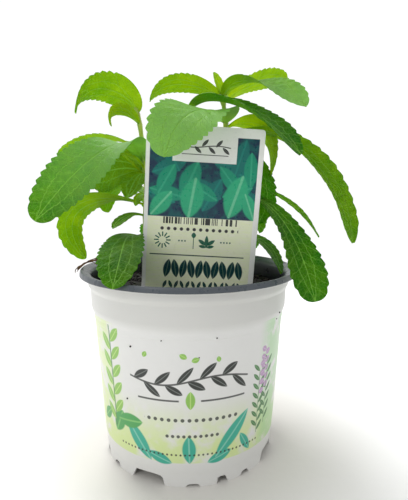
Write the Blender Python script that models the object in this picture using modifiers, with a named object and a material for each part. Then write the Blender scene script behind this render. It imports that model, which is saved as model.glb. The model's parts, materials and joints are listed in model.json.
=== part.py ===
# A young stevia plant in its nursery pot: a two-layer pot, potting soil, a flat plant tag
# pushed into the soil, five leafy stems and a dry stalk that lies over the rim.
# All sizes are in millimetres and turned into Blender's metres where an object is made.

import bpy
import bmesh
import math
from collections import namedtuple
from mathutils import Matrix, Vector, noise
from mathutils.geometry import interpolate_bezier

MM = 0.001
NAME = "stevia_plant"

# Pot
RIM_RADIUS = 60.0
POT_HEIGHT = 102.6
FOOT_RADIUS = 47.6
WALL = 1.4
BASE_PLATE_UNDER = 6.9
BASE_PLATE_TOP = 9.3
PAD_RADIUS = 13.0
POT_SIDES = 48
DRAIN_HOLES = 6
DRAIN_RADIUS = 3.5
DRAIN_CIRCLE = 30.0

# Soil
SOIL_TOP = 91.5
SOIL_GAP = 0.35
SOIL_LUMP = 1.3

# Plant tag
TAG_WIDTH = 60.5
TAG_TOP = 177.5
TAG_SHOULDER = 90.0
TAG_TAIL_WIDTH = 24.0
TAG_TIP = 62.0
TAG_THICKNESS = 0.8
TAG_FOOT = (4.4, -12.6, 90.0)
TAG_LEAN = 4.6
TAG_ROLL = 3.3

# Plant
STEM_FOOT = 76.0
STEM_SIDES_RESOLUTION = 1
HOLE_GAP = 0.35
BLADE = 0.7
BLADE_ROOT = 1.5
TEETH_FROM = 0.36
TEETH_TO = 0.93
NOTCH_SHARE = 0.9

Leaf = namedtuple("Leaf", "root rise arch tip width face_in face_out widest blunt cup teeth",
                  defaults=(0.6, 0.6, (30, 15), 5))
Stem = namedtuple("Stem", "route foot_radius top_radius leaves")

UP = (0, 0, 1)

# Each leaf springs from its stem at the height root. Its midrib is one Bezier arc with the
# handles rise and arch and the end tip. Its upper side looks along face_in near the stem and
# along face_out at the tip. widest is the share of the length where the blade is broadest.
STEMS = {
    "stem_left": Stem(
        [(-23, -4, 94), (-24, -4, 120), (-23, -4, 145), (-24, -4, 161), (-26, -4, 180), (-28, -4, 189)],
        1.8, 1.0,
        [
            Leaf(158, (-28, -8, 186), (-52, -42, 156), (-67, -52, 131), 25, (.1, .5, .3), (.3, -.8, .5),
                 0.56, 0.45, (25, 15), 8),
            Leaf(163, (-33, 12, 178), (-60, 26, 178), (-81, 32, 168), 15, (0, .2, 1), (-.3, .4, .8), 0.55),
            Leaf(186, (-29, -4, 197), (-54, -12, 206), (-56, -20, 183), 21, (.1, .7, .7), (-.9, -.3, .4),
                 0.5, 0.6, (20, 10), 6),
            Leaf(180, (-30, -10, 187), (-42, -15, 189), (-39, -18, 177), 11, UP, (-1, 0, .2), 0.6, 0.6,
                 (30, 15), 3),
            Leaf(118, (-37, -4, 123), (-29, -40, 124), (-34, -54, 101), 23, (0, -.2, 1), (-.2, -.8, .5),
                 0.64, 0.5, (20, 10), 6),
            Leaf(112, (-32, -7, 115), (-33, -21, 111), (-33, -31, 104), 12, (0, -.2, 1), (0, -.6, .7),
                 0.6, 0.6, (30, 15), 3),
            Leaf(137, (-48, 6, 146), (-85, 16, 136), (-63, 18, 104), 19, (0, .2, 1), (-.6, .6, -.2),
                 0.62, 0.6, (30, 20), 6),
            Leaf(142, (-35, 12, 151), (-52, 22, 149), (-50, 26, 132), 20, (0, .2, 1), (-.6, .4, .4)),
            Leaf(155, (-34, 2, 159), (-46, 4, 158), (-58, 5, 149), 24, (0, -.9, .4), (-.1, -1, .1)),
            Leaf(153, (-26, -8, 156), (-28, -16, 151), (-31, -22, 141), 12, (0, -.2, 1), (0, -.8, .4),
                 0.6, 0.6, (30, 15), 3),
            Leaf(143, (-25, -7, 144), (-27, -11, 142), (-28, -14, 137), 5, (0, -.2, 1), (0, -.8, .4),
                 0.6, 0.6, (30, 15), 2),
            Leaf(131, (-29, -8, 134), (-34, -18, 131), (-38, -26, 126), 8, (0, -.2, 1), (0, -.4, .8),
                 0.6, 0.6, (30, 15), 3),
            Leaf(156, (-28, -9, 163), (-34, -18, 165), (-39, -25, 162), 7, (0, -.2, 1), (0, -.2, 1),
                 0.6, 0.6, (30, 15), 3),
            Leaf(152, (-32, -2, 166), (-40, 0, 170), (-46, 2, 166), 12, (0, -.2, 1), (0, -.4, .9),
                 0.6, 0.6, (30, 15), 4),
        ]),
    "stem_middle": Stem(
        [(14, 6, 94), (20, 6, 120), (22, 6, 145), (22, 6, 168), (21, 5, 184), (19, 4, 198)],
        1.8, 1.0,
        [
            Leaf(183, (14, -18, 190), (-6, -36, 185), (-11, -38, 160), 35, UP, (-.2, -1, .2),
                 0.56, 0.5, (25, 5), 7),
            Leaf(196, (9, 10, 205), (-15, 8, 210), (-21, 0, 193), 14, (0, .5, .9), (-.8, .2, .4),
                 0.5, 0.6, (20, 10), 6),
            Leaf(196.5, (18, 3, 201), (16, 2, 205), (14, 1, 209), 6, (.3, -.9, .2), (.3, -.9, .2),
                 0.5, 0.6, (40, 40), 2),
            Leaf(195, (19, -2, 205), (40, -18, 205), (57, -30, 185), 23, (0, .3, 1), (.3, -.9, .5),
                 0.62, 0.6, (30, 20), 6),
            Leaf(194, (32, 12, 205), (44, 18, 210), (60, 24, 213), 17, (-.2, .5, .8), (-.2, .5, .8)),
            Leaf(180, (34, 14, 188), (53, 10, 181), (46, 0, 153), 22, (0, .3, 1), (.8, .2, .3), 0.55),
            Leaf(168, (36, 2, 173), (41, -8, 151), (38, -10, 127), 24, (.3, 0, 1), (.4, -.8, .2)),
            Leaf(145, (46, -8, 145), (55, -32, 124), (60, -45, 92), 23, (0, -.2, 1), (.3, -.6, .6),
                 0.8, 0.42, (30, 10), 7),
            Leaf(151, (52, 12, 148), (69, 17, 134), (80, 16, 117), 13, (.2, .1, 1), (.6, -.1, .6), 0.66),
            Leaf(176, (49, 0, 185), (76, -16, 165), (85, -26, 118), 22, (0, .4, 1), (.9, .1, .3),
                 0.68, 0.6, (30, 20), 7),
            Leaf(119, (42, -2, 123), (46, -13, 112), (49, -20, 101), 15, UP, (.6, -.3, .6), 0.66),
        ]),
    "stem_inner": Stem(
        [(-8, 3, 94), (-5, 4, 115), (-2, 5, 140), (-1, 6, 167), (-1, 6, 190)],
        1.7, 1.0,
        [
            Leaf(188, (6, -2, 199), (31, -34, 189), (52, -42, 161), 25, UP, (.3, -.4, .7),
                 0.62, 0.6, (35, 25), 7),
        ]),
    "stem_rear_left": Stem(
        [(-12, 20, 94), (-13, 23, 115), (-14, 27, 140), (-13, 30, 160), (-12, 31, 170)],
        1.7, 1.0,
        [
            Leaf(160, (-12, 44, 178), (-15, 64, 174), (-19, 73, 146), 22, UP, (0, .8, .4)),
            Leaf(162, (-2, 36, 176), (6, 42, 172), (10, 46, 152), 19, UP, (.8, .4, .4)),
            Leaf(136, (-18, 46, 152), (-22, 68, 148), (-25, 77, 121), 24, UP, (-.2, .8, .4)),
            Leaf(134, (-6, 30, 148), (0, 36, 144), (4, 38, 126), 18, UP, (.8, .4, .4)),
            Leaf(112, (-20, 38, 126), (-25, 56, 126), (-28, 67, 106), 20, UP, (-.2, .8, .5)),
            Leaf(169, (-16, 34, 176), (-18, 38, 178), (-20, 42, 176), 7, UP, UP, 0.6, 0.6, (30, 15), 3),
            Leaf(168, (-8, 28, 175), (-5, 28, 177), (-3, 26, 174), 7, UP, UP, 0.6, 0.6, (30, 15), 3),
        ]),
    "stem_rear_right": Stem(
        [(18, 26, 94), (21, 29, 115), (24, 33, 140), (25, 35, 160), (24, 35, 166)],
        1.7, 1.0,
        [
            Leaf(152, (32, 50, 168), (42, 66, 162), (45, 76, 136), 22, UP, (.4, .7, .4)),
            Leaf(150, (20, 52, 168), (14, 70, 162), (10, 80, 138), 22, UP, (-.2, .8, .4)),
            Leaf(128, (32, 44, 146), (46, 54, 140), (51, 62, 116), 21, UP, (.7, .5, .4)),
            Leaf(124, (20, 50, 140), (16, 70, 134), (12, 77, 110), 22, UP, (-.2, .8, .4)),
            Leaf(108, (34, 38, 122), (42, 48, 120), (46, 56, 105), 16, UP, (.6, .5, .5)),
            Leaf(165, (28, 40, 174), (32, 42, 176), (35, 43, 173), 8, UP, UP, 0.6, 0.6, (30, 15), 3),
            Leaf(164, (20, 38, 172), (16, 40, 174), (13, 41, 171), 8, UP, UP, 0.6, 0.6, (30, 15), 3),
        ]),
}

# Dry stalk over the rim
TWIG_ROUTE = [(-38, -2, 103.6), (-48, 0, 106.0), (-54, 0, 105.6), (-59, -2, 104.2), (-62, -5, 101.5)]
TWIG_RADIUS = 0.6


def clear_scene():
    for thing in list(bpy.data.objects):
        bpy.data.objects.remove(thing)


def collection(name):
    found = bpy.data.collections.new(name)
    bpy.context.scene.collection.children.link(found)
    return found


def material(name, colour, roughness):
    made = bpy.data.materials.new(name)
    made.use_nodes = True
    shader = made.node_tree.nodes["Principled BSDF"]
    shader.inputs["Base Color"].default_value = (*colour, 1.0)
    shader.inputs["Roughness"].default_value = roughness
    shader.inputs["Metallic"].default_value = 0.0
    return made


def mesh_object(name, bm, home, finish=None):
    mesh = bpy.data.meshes.new(name)
    bm.to_mesh(mesh)
    bm.free()
    made = bpy.data.objects.new(name, mesh)
    home.objects.link(made)
    if finish:
        mesh.materials.append(finish)
    return made


def make_cutter(thing):
    thing.hide_render = True
    thing.display_type = "WIRE"


# A profile is a list of (radius, height) points that runs down its outer side.
def turned(name, profile, home, finish):
    bm = bmesh.new()
    points = [bm.verts.new((radius * MM, 0, height * MM)) for radius, height in profile]
    for first, second in zip(points, points[1:]):
        bm.edges.new((first, second))
    made = mesh_object(name, bm, home, finish)
    screw = made.modifiers.new("turn", "SCREW")
    screw.steps = POT_SIDES
    screw.render_steps = POT_SIDES
    screw.use_merge_vertices = True
    screw.merge_threshold = 0.0001
    return made


def evaluated_mesh(thing):
    graph = bpy.context.evaluated_depsgraph_get()
    return bpy.data.meshes.new_from_object(thing.evaluated_get(graph))


def apply_modifiers(thing):
    finished = evaluated_mesh(thing)
    thing.modifiers.clear()
    thing.data = finished


def block(name, size, place, home):
    bm = bmesh.new()
    bmesh.ops.create_cube(bm, size=1.0)
    bmesh.ops.scale(bm, vec=[side * MM for side in size], verts=bm.verts)
    made = mesh_object(name, bm, home)
    made.matrix_world = place
    make_cutter(made)
    return made


def rod(name, radius, low, high, x, y, sides, home):
    bm = bmesh.new()
    bmesh.ops.create_cone(bm, cap_ends=True, segments=sides, radius1=radius * MM, radius2=radius * MM,
                          depth=(high - low) * MM)
    made = mesh_object(name, bm, home)
    made.location = (x * MM, y * MM, (low + high) / 2 * MM)
    make_cutter(made)
    return made


def cut_by(thing, cutters, name):
    cut = thing.modifiers.new(name, "BOOLEAN")
    cut.operation = "DIFFERENCE"
    cut.operand_type = "COLLECTION"
    cut.collection = cutters
    cut.solver = "EXACT"


# The foot ring has four wide scallops, with three small notches between each two.
# Each notch is its angle from the front, its width and its height.
NOTCHES = [(-26, 18.0, 5.4), (2, 6.4, 1.5), (20, 6.0, 3.2), (36.6, 5.2, 2.2)]


def pot(home, cutters):
    inside = [
        (0, BASE_PLATE_TOP), (45.0, BASE_PLATE_TOP), (47.1, 12.0), (51.8, 78.2), (53.0, 83.0),
        (53.4, 92.4), (54.2, 99.6)]
    lip = [(55.0, 100.9), (58.6, 102.4), (59.5, POT_HEIGHT), (RIM_RADIUS, 102.1), (60.4, 99.9), (57.2, 99.5)]
    outside = [
        (56.4, 98.2), (56.1, 94.8), (54.9, 92.6), (54.5, 83.2), (53.2, 78.6), (48.6, 12.4), (47.7, 6.3)]
    foot = [
        (FOOT_RADIUS, 0), (FOOT_RADIUS - WALL, 0), (FOOT_RADIUS - WALL - 0.4, 5.4),
        (44.0, BASE_PLATE_UNDER), (PAD_RADIUS + 1.5, BASE_PLATE_UNDER), (PAD_RADIUS, 0), (0, 0)]
    finish = material("pot_plastic", (0.82, 0.82, 0.80), 0.45)
    made = turned("pot", inside + lip + outside + foot, home, finish)
    for turn in range(4):
        for number, (angle, width, height) in enumerate(NOTCHES):
            spin = Matrix.Rotation(math.radians(angle + 90 * turn), 4, "Z")
            away = Matrix.Translation((0, -FOOT_RADIUS * MM, 0))
            block(f"notch_{turn}_{number}", (width, 8.0, 2 * height), spin @ away, cutters)
    for number in range(DRAIN_HOLES):
        angle = math.radians(15 + 360 * number / DRAIN_HOLES)
        rod(f"drain_{number}", DRAIN_RADIUS, 2, 12, DRAIN_CIRCLE * math.cos(angle),
            DRAIN_CIRCLE * math.sin(angle), 10, cutters)
    cut_by(made, cutters, "notches")
    return made


def tag_place():
    lean = Matrix.Rotation(math.radians(TAG_LEAN), 4, "X")
    roll = Matrix.Rotation(math.radians(TAG_ROLL), 4, "Y")
    return Matrix.Translation(Vector(TAG_FOOT) * MM) @ lean @ roll


def soil(home, cutters):
    rings = [0, 8, 16, 24, 32, 40, 47]
    top = [(radius, SOIL_TOP) for radius in rings]
    side = [
        (53.4 - SOIL_GAP - 0.05, 90.5), (53.0 - SOIL_GAP, 83.0), (51.8 - SOIL_GAP, 78.2),
        (47.1 - SOIL_GAP, 12.2), (45.0 - SOIL_GAP, BASE_PLATE_TOP + SOIL_GAP),
        (0, BASE_PLATE_TOP + SOIL_GAP)]
    made = turned("soil", top + side, home, material("potting_soil", (0.03, 0.02, 0.015), 0.95))
    apply_modifiers(made)
    for vertex in made.data.vertices:
        if vertex.co.z > (SOIL_TOP - 0.5) * MM:
            vertex.co.z += SOIL_LUMP * MM * noise.noise(vertex.co * 140)
    for name, stem in STEMS.items():
        x, y = stem.route[0][:2]
        rod("hole_" + name, stem.foot_radius + HOLE_GAP, STEM_FOOT - HOLE_GAP, 97, x, y, 10, cutters)
    slot = tag_outline(0.4)
    slot.data.extrude = (TAG_THICKNESS / 2 + 0.35) * MM
    slot.name = "tag_slot"
    as_mesh(slot, cutters)
    cut_by(made, cutters, "holes")
    apply_modifiers(made)
    return made


def tag_outline(margin):
    height = TAG_TOP - TAG_FOOT[2]
    half = TAG_WIDTH / 2 + margin
    tail = TAG_TAIL_WIDTH / 2 + margin
    corner = 2.0
    right = [
        (half - corner, height + margin), (half, height + margin - corner), (half, 0),
        (tail, TAG_SHOULDER - TAG_FOOT[2] - 9 - margin), (3 + margin, TAG_TIP - TAG_FOOT[2] - margin)]
    points = right + [(-x, z) for x, z in reversed(right)]
    curve = bpy.data.curves.new("plant_tag", "CURVE")
    curve.dimensions = "2D"
    curve.fill_mode = "BOTH"
    curve.extrude = TAG_THICKNESS / 2 * MM
    line = curve.splines.new("POLY")
    line.points.add(len(points) - 1)
    for point, (x, z) in zip(line.points, points):
        point.co = (x * MM, z * MM, 0, 1)
    line.use_cyclic_u = True
    made = bpy.data.objects.new("plant_tag", curve)
    made.matrix_world = tag_place() @ Matrix.Rotation(math.radians(90), 4, "X")
    return made


# Turns a curve object into a closed mesh object in the collection home.
def as_mesh(thing, home, finish=None):
    bpy.context.scene.collection.objects.link(thing)
    bpy.context.view_layer.update()
    bm = bmesh.new()
    bm.from_mesh(evaluated_mesh(thing))
    bmesh.ops.remove_doubles(bm, verts=bm.verts, dist=0.00001)
    bmesh.ops.recalc_face_normals(bm, faces=bm.faces)
    made = mesh_object(thing.name + "_solid", bm, home, finish)
    made.matrix_world = thing.matrix_world
    name = thing.name
    bpy.data.objects.remove(thing)
    made.name = name
    if not finish:
        make_cutter(made)
    return made


def smooth_route(points, steps):
    route = []
    for number in range(len(points) - 1):
        before = Vector(points[max(number - 1, 0)])
        here = Vector(points[number])
        there = Vector(points[number + 1])
        after = Vector(points[min(number + 2, len(points) - 1)])
        rise = here + (there - before) / 6
        arch = there - (after - here) / 6
        route += interpolate_bezier(here, rise, arch, there, steps + 1)[:-1]
    return route + [Vector(points[-1])]


def tube(name, route, radii, home, finish=None):
    curve = bpy.data.curves.new(name, "CURVE")
    curve.dimensions = "3D"
    curve.bevel_depth = 1.0 * MM
    curve.bevel_resolution = STEM_SIDES_RESOLUTION
    curve.use_fill_caps = True
    line = curve.splines.new("POLY")
    line.points.add(len(route) - 1)
    for number, (point, place) in enumerate(zip(line.points, route)):
        share = number / (len(route) - 1)
        point.co = (*(place * MM), 1)
        point.radius = radii[0] + (radii[1] - radii[0]) * share
    return as_mesh(bpy.data.objects.new(name, curve), home, finish)


def at_height(route, height):
    for low, high in zip(route, route[1:]):
        if low.z <= height <= high.z:
            return low.lerp(high, (height - low.z) / (high.z - low.z))
    return route[-1].copy()


# Shares of the length where the blade has a row of points: few near the stem,
# then a tooth and the notch after it, and the tip.
def blade_rows(teeth):
    rows = [(0.0, 0), (0.13, 0), (0.25, 0), (TEETH_FROM, 0)]
    pitch = (TEETH_TO - TEETH_FROM) / teeth
    for tooth in range(teeth):
        rows.append((TEETH_FROM + pitch * (tooth + 0.72), 0))
        rows.append((TEETH_FROM + pitch * (tooth + 1.0), 1))
    return rows + [(1.0, 0)]


def half_width(leaf, share):
    rise = leaf.blunt * leaf.widest / (1 - leaf.widest)
    peak = leaf.widest ** rise * (1 - leaf.widest) ** leaf.blunt
    width = leaf.width / 2 * share ** rise * (1 - share) ** leaf.blunt / peak
    return max(width, 0.9 if share < 0.3 else 0.4)


def evenly(route, shares):
    lengths = [0.0]
    for first, second in zip(route, route[1:]):
        lengths.append(lengths[-1] + (second - first).length)
    places = []
    step = 0
    for share in shares:
        wanted = share * lengths[-1]
        while step < len(route) - 2 and lengths[step + 1] < wanted:
            step += 1
        part = (wanted - lengths[step]) / (lengths[step + 1] - lengths[step])
        places.append(route[step].lerp(route[step + 1], part))
    return places


def blade(name, leaf, root, home):
    rows = blade_rows(leaf.teeth)
    arc = interpolate_bezier(root, Vector(leaf.rise), Vector(leaf.arch), Vector(leaf.tip), 80)
    middle = evenly(arc, [share for share, notch in rows])
    across = 4 if leaf.width > 18 else 2
    bm = bmesh.new()
    upper = []
    lower = []
    for number, (share, notch) in enumerate(rows):
        before = middle[max(number - 1, 0)]
        after = middle[min(number + 1, len(rows) - 1)]
        along = (after - before).normalized()
        face = Vector(leaf.face_in).lerp(Vector(leaf.face_out), share)
        face = (face - along * face.dot(along)).normalized()
        side = along.cross(face)
        half = half_width(leaf, share) * (NOTCH_SHARE if notch else 1.0)
        bend = math.radians(leaf.cup[0] * (1 - share) + leaf.cup[1] * share)
        thick = BLADE / 2 + (BLADE_ROOT - BLADE) / 2 * max(0, 1 - share / 0.15)
        upper_row = []
        lower_row = []
        for step in range(across + 1):
            turn = bend * (2 * step / across - 1)
            out = side * (math.sin(turn) * half / bend) + face * ((1 - math.cos(turn)) * half / bend)
            normal = face * math.cos(turn) - side * math.sin(turn)
            point = middle[number] + out
            upper_row.append(bm.verts.new((point + normal * thick) * MM))
            lower_row.append(bm.verts.new((point - normal * thick) * MM))
        upper.append(upper_row)
        lower.append(lower_row)

    def sheet(first, second, third, fourth, flip):
        corners = [(first, second, third), (first, third, fourth)]
        for corner in corners:
            bm.faces.new(corner[::-1] if flip else corner)

    last = len(rows) - 1
    for row in range(last):
        for step in range(across):
            for skin, flip in ((upper, False), (lower, True)):
                sheet(skin[row][step], skin[row][step + 1], skin[row + 1][step + 1], skin[row + 1][step], flip)
        for step, flip in ((0, False), (across, True)):
            sheet(upper[row][step], upper[row + 1][step], lower[row + 1][step], lower[row][step], flip)
    for row, flip in ((0, True), (last, False)):
        for step in range(across):
            sheet(upper[row][step], upper[row][step + 1], lower[row][step + 1], lower[row][step], flip)
    bmesh.ops.recalc_face_normals(bm, faces=bm.faces)
    return mesh_object(name, bm, home)


def leafy_stem(name, stem, home, finish):
    blades = collection(name + "_leaves")
    x, y = stem.route[0][:2]
    route = [Vector((x, y, STEM_FOOT))] + smooth_route(stem.route, 2)
    made = tube(name, route, (stem.foot_radius, stem.top_radius), home, finish)
    for number, leaf in enumerate(stem.leaves):
        blade(f"{name}_leaf_{number}", leaf, at_height(route, leaf.root), blades)
    join = made.modifiers.new("leaves", "BOOLEAN")
    join.operation = "UNION"
    join.operand_type = "COLLECTION"
    join.collection = blades
    join.solver = "MANIFOLD"
    apply_modifiers(made)
    for thing in list(blades.objects):
        bpy.data.objects.remove(thing)
    bpy.data.collections.remove(blades)
    return made


def build():
    clear_scene()
    home = collection(NAME)
    pot_cutters = collection("pot_cutters")
    soil_cutters = collection("soil_cutters")
    pot(home, pot_cutters)
    soil(home, soil_cutters)
    as_mesh(tag_outline(0), home, material("tag_card", (0.86, 0.86, 0.84), 0.4))
    green = material("leaf_green", (0.16, 0.33, 0.08), 0.5)
    for name, stem in STEMS.items():
        leafy_stem(name, stem, home, green)
    tube("dry_stalk", smooth_route([Vector(place) for place in TWIG_ROUTE], 2), (TWIG_RADIUS, 0.4), home,
         material("dry_stalk", (0.25, 0.13, 0.05), 0.9))


build()
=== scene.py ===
# A young stevia plant in its nursery pot, with its plant tag, as it stands on a pale table.
# Sizes are in millimetres, measured from the middle of the pot's foot, and heights go up from the table.
# The leafy stems, the dry stalk, the pot, the tag and the soil each replace one plain solid of the frame.

import json
import math
from collections import namedtuple

import bmesh
import bpy
import numpy as np
from mathutils import Matrix, Vector, noise
from mathutils.geometry import interpolate_bezier

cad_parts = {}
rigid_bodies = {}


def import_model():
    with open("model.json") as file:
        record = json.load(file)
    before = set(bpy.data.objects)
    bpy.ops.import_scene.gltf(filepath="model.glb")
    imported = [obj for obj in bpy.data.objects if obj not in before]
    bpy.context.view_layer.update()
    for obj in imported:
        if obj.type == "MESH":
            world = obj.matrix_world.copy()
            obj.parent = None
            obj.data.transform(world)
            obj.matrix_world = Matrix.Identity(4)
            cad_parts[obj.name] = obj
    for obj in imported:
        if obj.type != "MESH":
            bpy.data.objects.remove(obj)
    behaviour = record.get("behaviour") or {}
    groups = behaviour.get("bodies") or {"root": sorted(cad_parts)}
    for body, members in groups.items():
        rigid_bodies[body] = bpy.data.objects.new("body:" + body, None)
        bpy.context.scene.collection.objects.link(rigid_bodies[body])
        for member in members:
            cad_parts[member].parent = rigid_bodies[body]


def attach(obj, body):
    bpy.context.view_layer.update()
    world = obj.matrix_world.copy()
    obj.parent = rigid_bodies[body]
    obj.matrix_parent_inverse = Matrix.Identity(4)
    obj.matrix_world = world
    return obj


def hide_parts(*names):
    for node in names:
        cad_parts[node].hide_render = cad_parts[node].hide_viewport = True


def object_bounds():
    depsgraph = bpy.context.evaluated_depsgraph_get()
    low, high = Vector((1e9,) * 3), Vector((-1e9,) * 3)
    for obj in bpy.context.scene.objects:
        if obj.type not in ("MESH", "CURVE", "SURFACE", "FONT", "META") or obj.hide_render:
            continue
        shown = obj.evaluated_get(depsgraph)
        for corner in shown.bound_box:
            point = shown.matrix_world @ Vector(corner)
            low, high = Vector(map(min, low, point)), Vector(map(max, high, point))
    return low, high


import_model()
cad_low, cad_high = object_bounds()

MM = 0.001


# Table and light
# The plant stands on a pale matt table top. A wide soft light hangs above and behind it, so the
# leaves glow through, and the rest is the even light of a white room.
CAMERA_PLACE = (0, -238, 141.5)
CAMERA_DOWN = 7.2
CAMERA_RIGHT = 2.1
CAMERA_LENS = 30.24

TABLE_RADIUS = 800
# Painted shade: the greyer table colour near the pot stands in for the pot's soft shadow.
TABLE_PAINTED_SHADE = (0.66, 0.645, 0.61)
TABLE_FAR = (0.97, 0.97, 0.965)
ROOM_FRONT = 0.47
ROOM_BACK = 1.04


# A number, vector or shader in a node tree. Sums and products of values add the nodes for them.
class Value:
    def __init__(self, tree, socket):
        self.tree = tree
        self.socket = socket

    def __add__(self, other):
        return maths("ADD", self, other)

    def __sub__(self, other):
        return maths("SUBTRACT", self, other)

    def __rsub__(self, other):
        return maths("SUBTRACT", other, self)

    def __mul__(self, other):
        return maths("MULTIPLY", self, other)

    def __truediv__(self, other):
        return maths("DIVIDE", self, other)

    def __pow__(self, other):
        return maths("POWER", self, other)


def add(tree, kind, inputs=None, output=0, **settings):
    made = tree.nodes.new("ShaderNode" + kind)
    for name, value in settings.items():
        setattr(made, name, value)
    for name, value in (inputs or {}).items():
        if isinstance(value, Value):
            tree.links.new(value.socket, made.inputs[name])
        else:
            made.inputs[name].default_value = value
    return Value(tree, made.outputs[output])


def link(value, thing, name="Base Color"):
    value.tree.links.new(value.socket, thing.inputs[name])


def parts(vector):
    split = add(vector.tree, "SeparateXYZ", {0: vector})
    return [Value(vector.tree, socket) for socket in split.socket.node.outputs]


def maths(operation, *values, clamp=False):
    tree = next(value.tree for value in values if isinstance(value, Value))
    return add(tree, "Math", dict(enumerate(values)), operation=operation, use_clamp=clamp)


def most(first, *others):
    for other in others:
        first = maths("MAXIMUM", first, other)
    return first


def ramp(value, low, high, start=0.0, end=1.0):
    return add(value.tree, "MapRange", {"Value": value, "From Min": low, "From Max": high, "To Min": start,
                                        "To Max": end}, interpolation_type="SMOOTHSTEP")


def mixed(share, first, second):
    made = add(share.tree, "Mix", {"Factor": share}, data_type="RGBA").socket.node
    for name, value in (("A", first), ("B", second)):
        socket = next(s for s in made.inputs if s.name == name and s.type == "RGBA")
        if isinstance(value, Value):
            share.tree.links.new(value.socket, socket)
        else:
            socket.default_value = (*value, 1.0)
    return Value(share.tree, next(s for s in made.outputs if s.type == "RGBA"))


def finish_of(name, roughness, **constants):
    made = bpy.data.materials.new(name)
    made.use_nodes = True
    shader = made.node_tree.nodes["Principled BSDF"]
    shader.inputs["Roughness"].default_value = roughness
    for key, value in constants.items():
        shader.inputs[key.replace("_", " ").title().replace("Ior", "IOR")].default_value = value
    return made, made.node_tree, shader


def bumped(shader, height, depth):
    made = add(height.tree, "Bump", {"Height": height, "Distance": depth * MM})
    link(made, shader, "Normal")
    return made


# The surface becomes a blend of its own shader and another one.
def blended(shader, share, other):
    own = Value(other.tree, shader.outputs[0])
    both = add(other.tree, "MixShader", {0: share, 1: own, 2: other})
    link(both, other.tree.nodes["Material Output"], "Surface")


def noise_at(where, scale, detail=2.0, roughness=0.5):
    return add(where.tree, "TexNoise", {"Vector": where, "Scale": scale, "Detail": detail,
                                        "Roughness": roughness}, "Fac")


def here(tree, kind="Object"):
    return add(tree, "TexCoord", output=kind)


def placed(name, data):
    made = bpy.data.objects.new(name, data)
    bpy.context.scene.collection.objects.link(made)
    return made


camera_lens = bpy.data.cameras.new("camera")
camera_lens.lens = CAMERA_LENS
camera_lens.clip_start = 0.01
camera_lens.clip_end = 20
camera = placed("camera", camera_lens)
camera.location = Vector(CAMERA_PLACE) * MM
camera.rotation_euler = (math.radians(90 - CAMERA_DOWN), 0, math.radians(-CAMERA_RIGHT))
bpy.context.scene.camera = camera
bpy.context.scene.view_settings.view_transform = "Standard"

table_mesh = bmesh.new()
bmesh.ops.create_circle(table_mesh, cap_ends=True, segments=96, radius=TABLE_RADIUS * MM)
table_top = bpy.data.meshes.new("table_top")
table_mesh.to_mesh(table_top)
table_mesh.free()
table = placed("table_top", table_top)
table_paint, tree, shader = finish_of("table_paint", 0.6)
far = add(tree, "VectorMath", {0: here(tree)}, "Value", operation="LENGTH")
# Painted shade: the table is painted greyer under and round the pot, as its shadow, and whiter further out.
link(mixed(ramp(far, 0.05, 0.14), TABLE_PAINTED_SHADE, TABLE_FAR), shader)
bumped(shader, noise_at(here(tree), 180, 4), 0.15)
blended(shader, ramp(far, 0.3, 0.75), add(tree, "BsdfTransparent"))
table_top.materials.append(table_paint)

# The room is white behind and above the plant, and dimmer in front of it.
room = bpy.data.worlds.new("white_room")
room.use_nodes = True
tree = room.node_tree
away, up = parts(here(tree, "Generated"))[1:]
glow = most(ramp(away, -0.25, 0.55), ramp(up, 0.25, 0.9, 0.0, 0.75))
background = tree.nodes["Background"]
background.inputs["Color"].default_value = (1.0, 1.0, 1.0, 1.0)
link(ramp(glow, 0.0, 1.0, ROOM_FRONT, ROOM_BACK), background, "Strength")
bpy.context.scene.world = room


def soft_light(name, place, aim, size, power):
    lamp = bpy.data.lights.new(name, "AREA")
    lamp.shape = "DISK"
    lamp.size = size * MM
    lamp.energy = power
    held = placed(name, lamp)
    held.location = Vector(place) * MM
    held.rotation_euler = (Vector(aim) - Vector(place)).to_track_quat("-Z", "Y").to_euler()


soft_light("light_above", (-260, 420, 720), (0, 0, 130), 420, 5)
soft_light("light_front", (-380, -520, 420), (0, 0, 90), 320, 0.8)


# Pot
# A round nursery pot drawn from two-layer sheet: the slate inner layer shows inside and on the
# rolled lip, the white outer layer carries the print. The foot ring is cut into scallops.
RIM_RADIUS = 60.0
POT_HEIGHT = 102.6
FOOT_RADIUS = 47.6
WALL = 1.4
BASE_PLATE_TOP = 9.3
BASE_PLATE_UNDER = 6.9
PAD_RADIUS = 13.0
POT_SIDES = 288
DRAIN_HOLES = 6
DRAIN_RADIUS = 3.5
DRAIN_CIRCLE = 30.0
WALL_LOW = (48.6, 12.4)
WALL_HIGH = (53.2, 78.6)
PRINT_RADIUS = 51.0

SLATE = (0.055, 0.066, 0.078)
SLATE_WORN = (0.10, 0.115, 0.13)
# Near black: painted shade inside the pot.
SLATE_PAINTED_SHADE = (0.016, 0.019, 0.022)
POT_WHITE = (0.77, 0.77, 0.75)
POT_DULL = (0.62, 0.62, 0.60)
COLLAR_WHITE = (0.65, 0.65, 0.62)
PRINT_WASH = (0.66, 0.78, 0.34)
PRINT_COOL_WASH = (0.42, 0.70, 0.36)
PRINT_GREEN = (0.27, 0.52, 0.10)
PRINT_GREEN_RIB = (0.62, 0.80, 0.30)
PRINT_LEAF = (0.08, 0.36, 0.10)
PRINT_TEAL = (0.05, 0.42, 0.30)
PRINT_INK = (0.035, 0.04, 0.035)
PRINT_LILAC = (0.50, 0.33, 0.52)
PRINT_HERB = (0.08, 0.22, 0.07)

# Each notch in the foot ring: its angle from the front, its width and its height.
NOTCHES = [(-26, 18.0, 5.4), (2, 6.4, 1.5), (20, 6.0, 3.2), (36.6, 5.2, 2.2)]


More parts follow.
